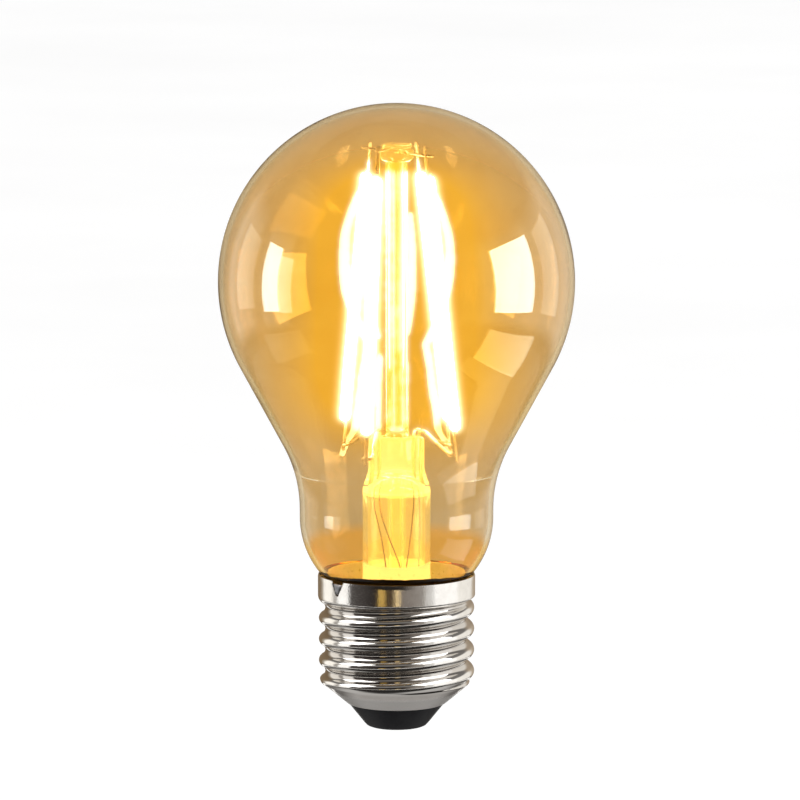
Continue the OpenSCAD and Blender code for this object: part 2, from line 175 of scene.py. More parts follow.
def amber(name, ior=1.5):
    """Amber on the globe and greyer on the neck, whose foot is painted orange at the back: painted glow for
    the filaments' light. The seam below that is nearly black in front, partly the cement showing through and
    partly painted shadow of the gap at the rim, and painted orange glow at the back."""
    f = smooth_glass(name, (0.76, 0.59, 0.34), ior)
    drift = f.noise(0.12, 2.0)
    globe = f.ramp(drift, (0.3, (0.745, 0.560, 0.305)), (0.7, (0.775, 0.600, 0.350)))
    neck = f.ramp(drift, (0.3, (0.70, 0.56, 0.34)), (0.7, (0.74, 0.60, 0.39)))
    tint = f.blend(f.level(f.z, 1.0, 0.0, 34.0, 50.0), globe, neck)
    # foot: painted glow, orange at the back of the neck's foot where the filaments' light falls
    foot = f.times(f.level(f.z, 1.0, 0.0, 31.0, 33.0), f.level(f.y, 0.0, 1.0, -12, -3))
    tint = f.blend(foot, tint, (0.93, 0.56, 0.15))
    # seam: painted shadow of the rim's gap over the dark cement in front, painted orange glow at the back; it
    # reaches higher in front
    seam = f.blend(f.level(f.y, 0.0, 1.0, -4, 3), (0.002, 0.001, 0.0007), (0.88, 0.56, 0.16))
    raised = f.plus(f.z, f.level(f.y, -0.6, 0.0, -12.5, -6))
    ragged = f.plus(raised, f.times(f.noise(0.6, 2.0), 0.35))
    f.colour(f.blend(f.level(ragged, 1.0, 0.0, 27.0, 27.12), tint, seam))
    f.relief(f.noise(0.07, 1.0), 0.04)
    return f


def cloudy_glass_with_painted_glow(name, light, strength):
    """Glass melted at a seal: cloudy, with a painted glow of its own that stands in for the filaments' light
    on it.
    """
    f = Finish(name, IOR=1.5, Transmission_Weight=0.4)
    f.colour(f.ramp(f.noise(0.8), (0.3, (0.56, 0.46, 0.20)), (0.7, (0.70, 0.57, 0.26))))
    f.rough(f.level(f.noise(1.5), 0.25, 0.45))
    f.relief(f.noise(0.9, 2.0), 0.05)
    f.glow(light, strength)
    return f


def nickel():
    """Plated sheet: a satin cone, a bright thread whose roots are painted darker as shade, and a slightly
    rougher collar.
    """
    f = Finish("nickel_plate", Metallic=1.0)
    grain = f.noise(7.0, 4.0)
    # crest runs from the painted shade in the thread's roots to its bright crests
    crest = f.level(f.radius, 0.0, 1.0, 12.0, 13.0)
    cone = f.level(f.z, 1.0, 0.0, 6.0, 6.8)
    collar = f.level(f.z, 0.0, 1.0, 21.6, 22.3)
    thread = f.blend(crest, (0.50, 0.47, 0.44), (0.78, 0.76, 0.73))
    sheet = f.blend(cone, thread, (0.60, 0.585, 0.565))
    f.colour(f.blend(f.level(f.noise(0.7), 0.0, 0.35), sheet, (0.62, 0.59, 0.55)))
    rough = f.mixed(cone, f.level(grain, 0.04, 0.09), f.level(grain, 0.36, 0.48))
    f.rough(f.mixed(collar, rough, f.level(grain, 0.08, 0.19)))
    off_thread = f.level(f.plus(cone, collar), 0.25, 1.0, 0, 1)
    f.relief(f.times(f.noise(3.5, 2.0), off_thread), 0.012)
    return f


def phosphor():
    """Yellow phosphor, lit almost white."""
    f = Finish("phosphor", Roughness=0.5)
    f.colour(f.ramp(f.noise(3.0), (0.3, (0.90, 0.60, 0.12)), (0.7, (0.98, 0.76, 0.22))))
    f.relief(f.noise(1.5), 0.01)
    f.glow((1.0, 0.92, 0.74), 330.0)
    return f


def board():
    """Green solder mask over copper tracks and glass weave."""
    f = Finish("circuit_board")
    cells = f.add("TexVoronoi", {"Vector": f.place, "Scale": 0.45}, feature="DISTANCE_TO_EDGE")
    track = f.level(cells.outputs["Distance"], 1.0, 0.0, 0.10, 0.13)
    weave = f.add("TexChecker", {"Vector": f.place, "Scale": 2.2}).outputs["Fac"]
    mask = f.blend(weave, (0.012, 0.115, 0.045), (0.016, 0.135, 0.055))
    f.colour(f.blend(track, mask, (0.03, 0.24, 0.08)))
    f.rough(f.level(f.noise(2.0), 0.28, 0.42))
    f.relief(f.plus(track, f.times(weave, 0.2)), 0.03)
    return f


def banded(name, body, bands, width_mm, axis):
    """A painted body with rings of colour along this axis."""
    f = Finish(name)
    stripe = f.math("PINGPONG", {"x": f.x, "z": f.z}[axis], width_mm)
    f.colour(f.blend(f.level(stripe, 1.0, 0.0, 0.20, 0.24), body, bands))
    f.rough(f.level(f.noise(2.5), 0.25, 0.45))
    f.relief(f.noise(4.0), 0.01)
    return f


def woven():
    f = Finish("glass_fibre_sleeve", Roughness=0.7)
    wave = f.add("TexWave", {"Vector": f.place, "Scale": 1.3, "Distortion": 0.6}, bands_direction="DIAGONAL")
    across = wave.outputs[1]
    f.colour(f.ramp(across, (0.2, (0.50, 0.46, 0.38)), (0.8, (0.80, 0.76, 0.66))))
    f.relief(across, 0.05)
    return f


# plain takes a dark and a light colour, the noise's features to the millimetre, the least and most
# roughness, and the depth of the relief. metal takes the two colours and the roughness first.
finish = {f.name: f for f in (
    amber("amber_glass"),
    amber("amber_glass_neck", 1.28),
    # stem and press glass: a weak painted glow, stronger on the press
    painted_glow_glass("stem_glass", (0.97, 0.90, 0.66), (0.95, 0.86, 0.58), 0.17),
    painted_glow_glass("press_glass", (0.98, 0.92, 0.66), (0.96, 0.88, 0.58), 0.7),
    # seal and flare glass: painted orange glow
    cloudy_glass_with_painted_glow("seal_glass", (1.0, 0.66, 0.10), 0.40),
    cloudy_glass_with_painted_glow("flare_glass", (1.0, 0.84, 0.34), 1.2),
    nickel(),
    phosphor(),
    board(),
    woven(),
    plain("ceramic_strip", (0.80, 0.77, 0.70), (0.92, 0.90, 0.84), 4.0, (0.45, 0.6), 0.01),
    plain("led_chip", (0.42, 0.40, 0.12), (0.62, 0.56, 0.24), 5.0, (0.15, 0.3), 0.004),
    metal("nickel_wire", (0.52, 0.47, 0.40), (0.78, 0.73, 0.64), (0.22, 0.4)),
    metal("copper_sheath", (0.62, 0.36, 0.16), (0.85, 0.56, 0.28), (0.3, 0.5)),
    metal("copper_wire", (0.20, 0.10, 0.05), (0.36, 0.19, 0.10), (0.35, 0.55)),
    metal("contact_metal", (0.55, 0.52, 0.46), (0.80, 0.77, 0.70), (0.2, 0.42), 1.6, 0.015),
    metal("solder", (0.20, 0.20, 0.21), (0.38, 0.38, 0.40), (0.35, 0.55), 2.2, 0.05),
    plain("cement", (0.012, 0.010, 0.008), (0.035, 0.030, 0.024), 5.0, (0.85, 0.95), 0.12),
    plain("black_insulator", (0.004, 0.004, 0.005), (0.009, 0.009, 0.010), 2.5, (0.34, 0.46), 0.01,
          Specular_IOR_Level=0.12),
    plain("paper_sleeve", (0.62, 0.56, 0.42), (0.80, 0.74, 0.60), 3.0, (0.7, 0.85), 0.03),
    plain("chip_body", (0.012, 0.012, 0.013), (0.03, 0.03, 0.032), 8.0, (0.5, 0.65), 0.01),
    plain("chip_ceramic", (0.36, 0.24, 0.14), (0.50, 0.35, 0.21), 6.0, (0.4, 0.55), 0.008),
    metal("capacitor_can", (0.66, 0.66, 0.68), (0.84, 0.84, 0.86), (0.22, 0.34)),
    banded("capacitor_film", (0.010, 0.016, 0.060), (0.40, 0.42, 0.45), 2.4, "z"),
    plain("ferrite", (0.030, 0.028, 0.027), (0.075, 0.070, 0.066), 5.0, (0.55, 0.75), 0.03),
    metal("enamelled_copper", (0.42, 0.12, 0.04), (0.66, 0.24, 0.08), (0.18, 0.3)),
    metal("tin_plate", (0.62, 0.62, 0.60), (0.80, 0.80, 0.78), (0.2, 0.36)),
    metal("gold_pin", (0.72, 0.47, 0.16), (0.92, 0.66, 0.28), (0.18, 0.32)),
    banded("resistor_coat", (0.16, 0.22, 0.15), (0.32, 0.10, 0.04), 0.9, "x"),
    metal("tinned_wire", (0.55, 0.55, 0.54), (0.76, 0.76, 0.75), (0.25, 0.42)),
    plain("red_insulation", (0.42, 0.015, 0.012), (0.58, 0.03, 0.02), 4.0, (0.35, 0.5), 0.01),
)}


# ---- Shapes, in millimetres: each is a list of points and a list of faces ----

def skin(rings, loop=False):
    """Joins rings of points one to the next. A ring of one point is a pole."""
    points, index = [], []
    for ring in rings:
        index.append(range(len(points), len(points) + len(ring)))
        points += [tuple(p) for p in ring]
    faces = []
    for a, b in zip(index, index[1:] + index[:1] if loop else index[1:]):
        n = max(len(a), len(b))
        for k in range(n):
            m = (k + 1) % n
            corners = ([a[k], a[m]] if len(a) > 1 else [a[0]]) + ([b[m], b[k]] if len(b) > 1 else [b[0]])
            if len(corners) > 2:
                faces.append(corners)
    return points, faces


def circle(r, z, sides, centre=(0, 0)):
    if r < 1e-6:
        return [(*centre, z)]
    turn = 2 * math.pi / sides
    return [(centre[0] + r * math.cos(k * turn), centre[1] + r * math.sin(k * turn), z) for k in range(sides)]


def lathe(outline, sides, centre=(0, 0)):
    """A closed outline of (radius, height) turned about the vertical."""
    return skin([circle(r, z, sides, centre) for r, z in outline], loop=True)


def laid_along_x(shape, y, z):
    """Lays an upright shape down along the line through y and z."""
    return [(p[2], y + p[0], z + p[1]) for p in shape[0]], shape[1]


def arc(cx, cz, r, start, end, steps):
    angles = [math.radians(start + (end - start) * i / steps) for i in range(steps + 1)]
    return [(cx + r * math.cos(a), cz + r * math.sin(a)) for a in angles]


def rounded(outline, r, steps=4):
    """A closed outline with rounded corners, apart from those on the axis and the nearly straight ones."""
    on_axis, nearly_straight, most_of_a_side = 1e-6, -0.985, 0.45
    out = []
    for i, corner in enumerate(outline):
        p = np.array(corner, float)
        u = np.array(outline[i - 1], float) - p
        v = np.array(outline[(i + 1) % len(outline)], float) - p
        lu, lv = np.linalg.norm(u), np.linalg.norm(v)
        if p[0] < on_axis or np.dot(u, v) / (lu * lv) < nearly_straight:
            out.append(tuple(p))
            continue
        d = min(r, most_of_a_side * lu, most_of_a_side * lv)
        start, end = p + u / lu * d, p + v / lv * d
        for k in range(steps + 1):
            t = k / steps
            out.append(tuple((1 - t) ** 2 * start + 2 * t * (1 - t) * p + t * t * end))
    return out


def ring(r0, r1, z0, z1, sides, r=0.1, centre=(0, 0)):
    return lathe(rounded([(r0, z0), (r1, z0), (r1, z1), (r0, z1)], r), sides, centre)


def merged(*shapes):
    """Several shapes as one."""
    points, faces = [], []
    for more, joined in shapes:
        faces += [[k + len(points) for k in face] for face in joined]
        points += list(more)
    return points, faces


def block(low, high, r=0.08):
    """A box between two corners, with rounded edges."""
    low, high = np.array(low, float), np.array(high, float)
    bm = bmesh.new()
    bmesh.ops.create_cube(bm, size=1)
    for v in bm.verts:
        v.co = Vector((low + high) / 2 + np.array(v.co) * (high - low))
    r = min(r, 0.3 * float((high - low).min()))
    bmesh.ops.bevel(bm, geom=bm.edges[:], offset=r, segments=3, profile=0.5, affect="EDGES")
    bm.verts.index_update()
    shape = [tuple(v.co) for v in bm.verts], [[v.index for v in f.verts] for f in bm.faces]
    bm.free()
    return shape


def eased(path, passes=3):
    """Corner cutting: keeps the two ends and rounds every bend between them."""
    path = [np.array(p, float) for p in path]
    for _ in range(passes):
        cut = [q for a, b in zip(path, path[1:]) for q in (0.75 * a + 0.25 * b, 0.25 * a + 0.75 * b)]
        path = [path[0], *cut, path[-1]]
    return path


def sweep(path, r, sides=16):
    """A round wire with domed ends along a path, without twist."""
    path = [Vector(p) for p in path]
    start, end = path[0], path[-1]
    first, last = (path[1] - start).normalized(), (end - path[-2]).normalized()
    dome = [(0.13, 0.5), (0.5, 0.87), (1.0, 1.0)]
    stations = [(start + first * r * a, r * b) for a, b in dome]
    stations += [(p, r) for p in path[1:-1] if min((p - start).length, (p - end).length) > 1.2 * r]
    stations += [(end - last * r * a, r * b) for a, b in reversed(dome)]
    across = first.orthogonal().normalized()
    rings, before = [[start]], first
    for i, (centre, radius) in enumerate(stations):
        ahead = stations[min(i + 1, len(stations) - 1)][0] - stations[max(i - 1, 0)][0]
        across = before.rotation_difference(ahead) @ across
        before = ahead
        turns = [Quaternion(ahead, 2 * math.pi * k / sides) for k in range(sides)]
        rings.append([centre + turn @ across * radius for turn in turns])
    return skin(rings + [[end]])


def span(node):
    """A CAD node's lowest and highest corners, in millimetres."""
    low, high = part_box(node)
    return np.array(low) / MM, np.array(high) / MM


pieces = {}


def piece(node, shape, crease=34):
    """A finished piece that stands for one CAD node."""
    mesh = bpy.data.meshes.new(node + "_form")
    mesh.from_pydata([tuple(c * MM for c in p) for p in shape[0]], [], shape[1])
    bm = bmesh.new()
    bm.from_mesh(mesh)
    bmesh.ops.recalc_face_normals(bm, faces=bm.faces)
    bm.to_mesh(mesh)
    bm.free()
    mesh.shade_smooth()
    mesh.set_sharp_from_angle(angle=math.radians(crease))
    mesh.materials.append(finish[slots[node]].material)
    obj = bpy.data.objects.new(node + "_form", mesh)
    scene.collection.objects.link(obj)
    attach(obj, "root")
    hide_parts(node)
    pieces[node] = obj
    return obj


def refinish(obj, name, low, high, within=99.0):
    """Gives the faces between two heights, and within this radius, another finish."""
    obj.data.materials.append(finish[name].material)
    for face in obj.data.polygons:
        if low * MM < face.center.z < high * MM and face.center.xy.length < within * MM:
            face.material_index = len(obj.data.materials) - 1


# ---- Glass ----

low, high = span("glass_envelope")
GLOBE_R = min(abs(side) for side in (*low[:2], *high[:2]))
CROWN, RIM = high[2], span("screw_shell")[1][2]
GLOBE_Z = CROWN - GLOBE_R
WALL, FOOT_DROP, NECK_TOP = 0.8, 0.3, 44
# Radii of the neck and of the curves above and below it, and the slope of the flank in degrees
NECK_R, BLEND_R, SHOULDER_R, FLANK = 16.4, 23.0, 15.0, 28.5
SEAT_R, SEAL_R, SEAL_Z = 12.45, 11.0, RIM - 6.7
flank_sin, flank_cos = math.sin(math.radians(FLANK)), math.cos(math.radians(FLANK))
blend_end_r = NECK_R + BLEND_R * (1 - flank_cos)
blend_z = (GLOBE_Z - GLOBE_R * flank_sin
           - (GLOBE_R * flank_cos - blend_end_r) * flank_cos / flank_sin - BLEND_R * flank_sin)
shoulder_z = RIM + 9.8
seat_angle = math.degrees(math.acos((SEAT_R - NECK_R + SHOULDER_R) / SHOULDER_R))


def envelope_face(t, drop):
    """The blown skin's outline from the crown down to the seal, t inside the outer face."""
    curve = (arc(0, GLOBE_Z, GLOBE_R - t, 90, -FLANK, 96)
             + arc(NECK_R + BLEND_R, blend_z, BLEND_R + t, 180 - FLANK, 180, 24)
             + arc(NECK_R - SHOULDER_R, shoulder_z, SHOULDER_R - t, 0, -seat_angle, 24))
    return [(0, CROWN - t), *curve[1:], (SEAT_R - t, RIM - 3.4 - drop),
            (SEAL_R + 0.15 - t, RIM - 4.8 - drop), (SEAL_R - t, SEAL_Z)]


envelope = piece("glass_envelope", lathe(envelope_face(0, 0) + envelope_face(WALL, FOOT_DROP)[::-1], 192))
refinish(envelope, "amber_glass_neck", 0, NECK_TOP)
# the seal's faces take cloudy glass with painted glow
refinish(envelope, "seal_glass", 0, RIM - 0.1, SEAT_R - 0.25)

STEM_R, STEM_WALL, TUBE_END, PRESS_W, PRESS_T = 5.75, 0.9, 40.6, 9.4, 3.4
PRESS_Z0, PRESS_Z1 = 45.0, span("glass_stem")[1][2]
FLARE_R, FLARE_Z = 10.05, 26.5


def bell(r0, z0):
    """The flare's curve, from its wide foot up to the tube."""
    angles = [math.radians(5 * k) for k in range(18, -1, -1)]
    width, height = FLARE_R - STEM_R, FLARE_Z - SEAL_Z
    return [(r0 + width * (1 - math.cos(a)), z0 - height * math.sin(a)) for a in angles]


def smooth(t):
    t = min(1.0, max(0.0, t))
    return t * t * (3 - 2 * t)


def pressed(t, z, sides, shrink=0.0):
    """A section of the stem between the round tube, t = 0, and the flat press, t = 1."""
    out = []
    for k in range(sides):
        a = 2 * math.pi * k / sides
        c, s = math.cos(a), math.sin(a)
        half_w, half_t = (PRESS_W - PRESS_T) / 2, PRESS_T / 2
        reach = half_t / max(abs(s), 1e-6)
        if abs(c) * reach <= half_w:
            flat = (c * reach, s * reach)
        else:
            b = abs(c) * half_w
            d = b + math.sqrt(max(b * b - half_w ** 2 + half_t ** 2, 0.0))
            flat = (c * d, s * d)
        x = STEM_R * c * (1 - t) + flat[0] * t
        y = STEM_R * s * (1 - t) + flat[1] * t
        away = math.hypot(x, y)
        out.append((x * (1 - shrink / away), y * (1 - shrink / away), z))
    return out


def stem():
    sides, edge = 96, 0.8
    foot = [(SEAL_R - 0.1, SEAL_Z - 0.79), (SEAL_R, SEAL_Z - 0.65), (SEAL_R, SEAL_Z - 0.12),
            (SEAL_R - 0.1, SEAL_Z - 0.02)]
    rings = [circle(r, z, sides) for r, z in foot + bell(STEM_R, FLARE_Z)]
    rings += [circle(STEM_R, FLARE_Z + (TUBE_END - FLARE_Z) * k / 8, sides) for k in range(1, 9)]
    for k in range(1, 17):
        rings.append(pressed(smooth(k / 16), TUBE_END + (PRESS_Z0 - TUBE_END) * k / 16, sides))
    rings += [pressed(1, PRESS_Z0 + (PRESS_Z1 - edge - PRESS_Z0) * k / 4, sides) for k in range(1, 5)]
    for k in range(1, 7):
        a = math.radians(15 * k)
        rings.append(pressed(1, PRESS_Z1 - edge + edge * math.sin(a), sides, edge * (1 - math.cos(a))))
    rings.append([(0, 0, PRESS_Z1)])
    hollow = [(0, 43.85), (1.65, 43.85), (1.65, 43.1), (2.4, 43.05), (3.4, 42.0), (4.3, 41.0),
              (4.85, TUBE_END - 0.6), (STEM_R - STEM_WALL, FLARE_Z + 1),
              *reversed(bell(STEM_R - STEM_WALL, FLARE_Z - 0.81))]
    rings += [circle(r, z, sides) for r, z in hollow]
    return skin(rings, loop=True)


glass_stem = piece("glass_stem", stem(), crease=50)
# the press and the flare take glass with painted glow
refinish(glass_stem, "press_glass", TUBE_END - 0.1, CROWN)
refinish(glass_stem, "flare_glass", 0, FLARE_Z + 1)

low, high = span("exhaust_tube")
foot, top, r, bore = low[2], high[2], 1.6, 0.85
tube = [(0, foot), *arc(0, foot + r, r, -80, 0, 8), (r, top), (bore, top), (bore, foot + 3),
        (0.55, foot + 2.1), (0, foot + 1.5)]
piece("exhaust_tube", lathe(tube, 64))

top, r, z = span("support_column")[1][2], span("support_column")[1][0], PRESS_Z1
column = [(0, z + 0.02), (r + 0.5, z + 0.02), (r + 0.22, z + 0.16), (r + 0.07, z + 0.45), (r, z + 0.9),
          (r, top), (r - 0.7, top), (r - 0.7, z + 1.6), (r - 1.1, z + 1), (0, z + 0.8)]
piece("support_column", lathe(column, 64))

z = span("column_button")[0][2]
button = [(0, z), (2.2, z), (2.75, z + 0.5), (2.95, z + 1.1), (2.85, z + 1.9), (2.35, z + 2.35),
          (2.6, z + 2.7), (2.35, z + 3.05), (0, z + 3.1)]
piece("column_button", lathe(rounded(button, 0.3, 6), 64), 60)


# ---- Filaments ----

FILAMENTS = (1, 2, 3, 4)


class Axes:
    """A filament's own directions, found from the corners of its ceramic strip."""

    def __init__(self, i):
        mesh = frame["nodes"][f"filament_{i}_substrate"].data
        corners = np.unique(np.round(np.array([v.co for v in mesh.vertices]) / MM, 4), axis=0)
        self.centre = (corners.min(0) + corners.max(0)) / 2
        self.up, self.side, self.out = np.linalg.svd(corners - self.centre)[2]
        self.up *= np.sign(self.up[2])
        flat = np.array([self.centre[0], self.centre[1], 0.0])
        self.outwards = flat / np.linalg.norm(flat)
        self.sideways = np.array([-self.outwards[1], self.outwards[0], 0.0])
        self.out *= np.sign(self.out @ self.outwards)
        self.side *= np.sign(self.side @ self.sideways)

    def at(self, out, side, up):
        """A point given from the centre of the strip."""
        return self.centre + self.out * out + self.side * side + self.up * up

    def level(self, z):
        return self.centre + self.up * (z - self.centre[2]) / self.up[2]

    def bar(self, sections, w, t, inset=0.0, power=4.0, sides=32):
        """A strip along the filament: sections are (up, share of width, share of depth)."""
        rings = []
        for up, wide, deep in sections:
            ring = []
            for k in range(sides):
                a = 2 * math.pi * k / sides
                c, s = math.cos(a), math.sin(a)
                ring.append(self.at(inset + t / 2 * deep * math.copysign(abs(c) ** (2 / power), c),
                                    w / 2 * wide * math.copysign(abs(s) ** (2 / power), s), up))
            rings.append(ring)
        ends = [[self.at(inset, 0, sections[0][0])], [self.at(inset, 0, sections[-1][0])]]
        return skin([ends[0], *rings, ends[1]])


axes = {i: Axes(i) for i in FILAMENTS}
COAT, COAT_W, COAT_T, COAT_DOME, COAT_END = 42.6, 2.08, 1.58, 1.1, 0.62
CORE_W, CORE_T, CORE_OVER = 1.1, 0.4, 0.7
PIN_W, PIN_T, PIN_L = 0.8, 0.2, 5.2
CHIPS, CHIP_T, CHIP_W, CHIP_L, CHIP_MARGIN = 24, 0.28, 0.6, 1.1, 1.5


def coating(a):
    """Moulded silicone with domed ends and a faint wave from the chips under it."""
    sections, steps = [], 160
    for k in range(steps + 1):
        up = COAT * k / steps - COAT / 2
        end = min(COAT / 2 - abs(up), COAT_DOME) / COAT_DOME
        swell = COAT_END + (1 - COAT_END) * math.sqrt(1 - (1 - end) ** 2)
        share = swell * (1 + 0.012 * math.cos(2 * math.pi * CHIPS * k / steps))
        sections.append((up, share, share))
    return a.bar(sections, COAT_W, COAT_T, power=2.5, sides=40)


def substrate(a):
    end = COAT / 2 + CORE_OVER
    sections = [(-end, 0.94, 0.8), (-end + 0.04, 1, 1), (end - 0.04, 1, 1), (end, 0.94, 0.8)]
    return a.bar(sections, CORE_W, CORE_T, power=9.0)


def chip_row(a):
    row, step = [], (COAT - 2 * CHIP_MARGIN) / CHIPS
    for k in range(CHIPS):
        up = CHIP_MARGIN - COAT / 2 + step * (k + 0.5)
        ends = ((-1, 0.9), (-0.93, 1), (0.93, 1), (1, 0.9))
        sections = [(up + CHIP_L / 2 * s, share, share) for s, share in ends]
        row.append(a.bar(sections, CHIP_W, CHIP_T, inset=(CORE_T + CHIP_T) / 2, power=9.0, sides=16))
    return merged(*row)


def pin(a, way):
    """A flat pin, up or down, whose free end is rounded and pinched at the weld."""
    start = COAT / 2 + 0.1
    shares = [(0.0, 0.9), (0.06, 1.0), (1.6, 1.0), (2.2, 0.86), (3.4, 0.84), (4.1, 1.0), (4.9, 0.9),
              (5.1, 0.7), (PIN_L, 0.4)]
    sections = [(way * (start + up), wide, 0.8 if up in (0.0, PIN_L) else 1.0) for up, wide in shares]
    return a.bar(sections, PIN_W, PIN_T, inset=-(CORE_T + PIN_T) / 2, power=6.0, sides=24)


for i, a in axes.items():
    piece(f"filament_{i}_coating", coating(a), 60)
    piece(f"filament_{i}_substrate", substrate(a), 40)
    piece(f"filament_{i}_chips", chip_row(a), 40)
    piece(f"filament_{i}_top_pin", pin(a, 1), 40)
    piece(f"filament_{i}_bottom_pin", pin(a, -1), 40)

LINK_ANGLE, LINK_Z, LINK_REACH, LINK_R = (320, 58), (97.9, 98.55), 1.3, 0.2
# For each wire, the two filaments that it joins and the height at which it meets each one's pin
LINK_ENDS = ((3, 97.6, 1, 98.4), (4, 98.6, 2, 98.6))


def link_half(k, i, z):
    """From the button out beside filament i's pin, and just past it."""
    a, turn = axes[i], math.radians(LINK_ANGLE[k])
    way = np.array([math.cos(turn), math.sin(turn), 0.0]) * (1 if i > 2 else -1)
    middle = np.array([0, 0, LINK_Z[k]])
    beside = a.level(z) - a.outwards * (CORE_T + PIN_T) / 2 + a.sideways * (PIN_W / 2 + LINK_R + 0.05)
    return [middle + way * 2.9, middle + way * 3.3,
            beside - a.outwards * 0.8, beside + a.outwards * LINK_REACH]


for k, name in enumerate(("link_wire_a", "link_wire_b")):
    i, z_i, j, z_j = LINK_ENDS[k]
    piece(name, sweep(eased(link_half(k, j, z_j)[::-1] + link_half(k, i, z_i)), LINK_R), 60)

SEAL_X, SEAL_HEIGHTS, SEAL_WIRE_R = (-3.8, -2.9, 3.8, 2.9), (40.9, 43, 46, PRESS_Z1), 0.25
LEAD_R, WELD_Z, TAIL_R = 0.3, 46.6, 0.11


def lead_support(i):
    """From the press up and out to a filament's lower pin, with a hook behind it."""
    a, up = axes[i], np.array([0, 0, 1.0])
    start = np.array([SEAL_X[i - 1], 0, PRESS_Z1 + 0.01])
    hook = a.level(WELD_Z + 1) - a.outwards * (CORE_T / 2 + PIN_T + LEAD_R + 0.08)
    turn = a.sideways * (-1 if i % 2 == 0 else 1)
    route = [start, start + up * 0.9, start * 0.86 + hook * 0.14 + up * 1.5,
             start * 0.45 + hook * 0.55 + up * 0.4, hook - a.outwards * 0.25 - turn * 0.9 + up * 0.1,
             hook + turn * 0.2, hook + turn * 1.1 - up * 0.1]
    return sweep(eased(route), LEAD_R)


for i in FILAMENTS:
    piece(f"lead_support_{i}", lead_support(i), 60)
seals = [sweep([(x, 0, z) for z in SEAL_HEIGHTS], SEAL_WIRE_R) for x in SEAL_X]
piece("press_seal_wires", merged(*seals), 60)
# Each thin wire's route from the press down through the stem and into the cap
TAILS = (
    ((-3.8, 0, 40.88), (-3.8, 0, 40.3), (-3.7, -0.5, 38.8), (-3.2, -2.1, 36.5), (-2.4, -3.2, 33),
     (-1.5, -3.7, 27), (-1.9, -3.8, 22), (-5.5, -3, 17), (-8.6, -2.2, 13), (-8.6, -2.2, 9.1)),
    ((-2.9, 0, 40.88), (-2.9, 0, 40.3), (-2.8, -0.9, 39), (-2.5, -2.7, 37), (-1.2, -3.4, 33),
     (1.1, -3.7, 27), (0.9, -3.9, 22), (-2.5, -3.7, 16.5), (-5.6, -3.7, 13), (-5.6, -3.7, 9.1)),
    ((3.8, 0, 40.88), (3.8, 0, 39.5), (3.9, 0.3, 37), (3.9, 0.5, 32), (3.8, 0.2, 26),
     (4.1, -0.8, 21), (6.8, -2.4, 15.5), (8.2, -2.6, 13), (8.2, -2.6, 9.1)),
    ((2.9, 0, 40.88), (2.9, 0, 40.3), (2.9, 0.6, 38.5), (2.6, 2.6, 34), (1.8, 3.4, 27),
     (1, 3.9, 22), (0.1, 6, 16.5), (0, 7.4, 13), (0, 7.4, 9.1)))
for i in FILAMENTS:
    piece(f"lead_tail_{i}", sweep(eased(TAILS[i - 1]), TAIL_R, 12), 60)


# ---- Cap ----

# CREST_R is the radius of the thread's arcs, and CREST_TOP how far its crests are from the axis
PITCH, CREST_R, CREST_TOP, FOOT_R, FOOT_Z = 3.629, 1.025, 13.2, 8.35, 4.15
QUARTER = PITCH / 4
ARC_DROP = math.sqrt(CREST_R ** 2 - QUARTER ** 2)
MEAN_R = CREST_TOP - (CREST_R - ARC_DROP)
CREST_Z, COLLAR_Z, THREAD_Z0 = RIM - 5.75, RIM - 4.1, 7.0
COLLAR_R = span("screw_shell")[1][0]
SHELL_WALL, EDGE_ROUND, FOOT_SLOPE = 0.3, 0.09, 1.19
# The gap in the rim: its turn about the axis, its depth, its width at the rim, and half its width at its foot
NOTCH, NOTCH_DEPTH, NOTCH_W, NOTCH_FOOT = 221.4, 2.4, 2.9, 0.28


def thread_r(z, degrees):
    """The Edison profile, arcs of equal radius at crest and root, wound as a right-hand helix."""
    turns = (z - CREST_Z) / PITCH - degrees / 360
    u = abs(turns - round(turns)) * PITCH
    if u <= QUARTER:
        return MEAN_R + math.sqrt(CREST_R ** 2 - u ** 2) - ARC_DROP
    return MEAN_R - math.sqrt(CREST_R ** 2 - (2 * QUARTER - u) ** 2) + ARC_DROP


def shell_r(z, degrees):
    foot = min(FOOT_R + (z - FOOT_Z) * FOOT_SLOPE, MEAN_R)
    in_thread, in_collar = smooth((z - THREAD_Z0) / 1.8), smooth(z - COLLAR_Z + 0.45)
    body = foot * (1 - in_thread) + thread_r(z, degrees) * in_thread
    return body * (1 - in_collar) + COLLAR_R * in_collar


def rim_depth(degrees):
    """How far the V-shaped gap drops the rim at this angle."""
    off = abs((degrees - NOTCH + 180) % 360 - 180) * math.pi / 180 * COLLAR_R
    slope = (NOTCH_W / 2 - NOTCH_FOOT) / NOTCH_DEPTH
    return min(NOTCH_DEPTH, max(0.0, (NOTCH_W / 2 - off) / slope))


